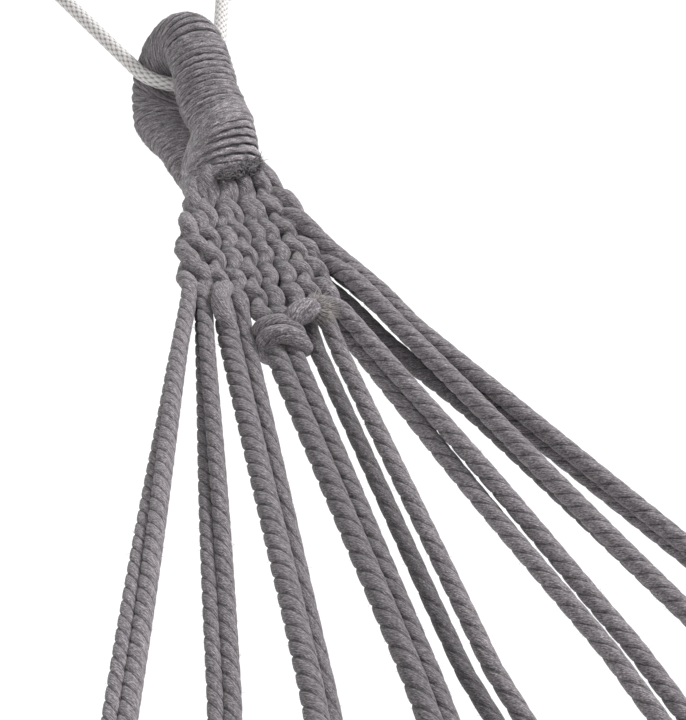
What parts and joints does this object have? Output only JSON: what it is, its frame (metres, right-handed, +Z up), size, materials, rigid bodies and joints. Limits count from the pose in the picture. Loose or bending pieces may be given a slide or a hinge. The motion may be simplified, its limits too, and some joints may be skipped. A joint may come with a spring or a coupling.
{
  "type": "hammock",
  "caption": "Cotton cloth hammock without spreader bars: yarn-bound eyes, woven clews, twisted clew cords and rope slings that hang it between posts.",
  "frame": {"origin": "the point where the left sling bears on the far side of its post", "axes": "+X along the hammock from the left post to the right post, +Y across it, +Z up"},
  "size_m": [3.1118, 0.7622, 0.6078],
  "materials": {
    "cotton_cord": "heather grey twisted cotton, matt and slightly fuzzy",
    "binding_yarn": "heather grey cotton yarn, wound tight",
    "eye_bundle": "shaded grey cotton bundle under the binding",
    "frayed_cotton": "loose grey cotton fibres",
    "white_rope": "white braided synthetic rope with a slight sheen",
    "bed_canvas": "grey cotton canvas, matt"
  },
  "bodies": {
    "slings": {"left_sling": "white_rope", "left_sling_knot": "white_rope", "right_sling": "white_rope", "right_sling_knot": "white_rope"},
    "hammock": {"left_eye_core": "eye_bundle", "left_eye_binding": "binding_yarn", "left_neck_whipping": "binding_yarn", "left_clew_cord_1": "cotton_cord", "left_clew_cord_2": "cotton_cord", "left_clew_cord_3": "cotton_cord", "left_clew_cord_4": "cotton_cord", "left_clew_cord_5": "cotton_cord", "left_clew_cord_6": "cotton_cord", "left_clew_cord_7": "cotton_cord", "left_clew_cord_8": "cotton_cord", "left_weft": "cotton_cord", "left_weft_knot": "cotton_cord", "left_weft_tail": "frayed_cotton", "left_neck_tuft": "frayed_cotton", "right_eye_core": "eye_bundle", "right_eye_binding": "binding_yarn", "right_neck_whipping": "binding_yarn", "right_clew_cord_1": "cotton_cord", "right_clew_cord_2": "cotton_cord", "right_clew_cord_3": "cotton_cord", "right_clew_cord_4": "cotton_cord", "right_clew_cord_5": "cotton_cord", "right_clew_cord_6": "cotton_cord", "right_clew_cord_7": "cotton_cord", "right_clew_cord_8": "cotton_cord", "right_weft": "cotton_cord", "right_weft_knot": "cotton_cord", "right_weft_tail": "frayed_cotton", "right_neck_tuft": "frayed_cotton", "bed_cloth": "bed_canvas"}
  },
  "joints": [
    {"name": "swing", "type": "hinge", "parent": "slings", "child": "hammock", "pos_m": [0.1977, 0, -0.10868], "axis": [1, 0, 0], "range_deg": [-25, 25]}
  ]
}
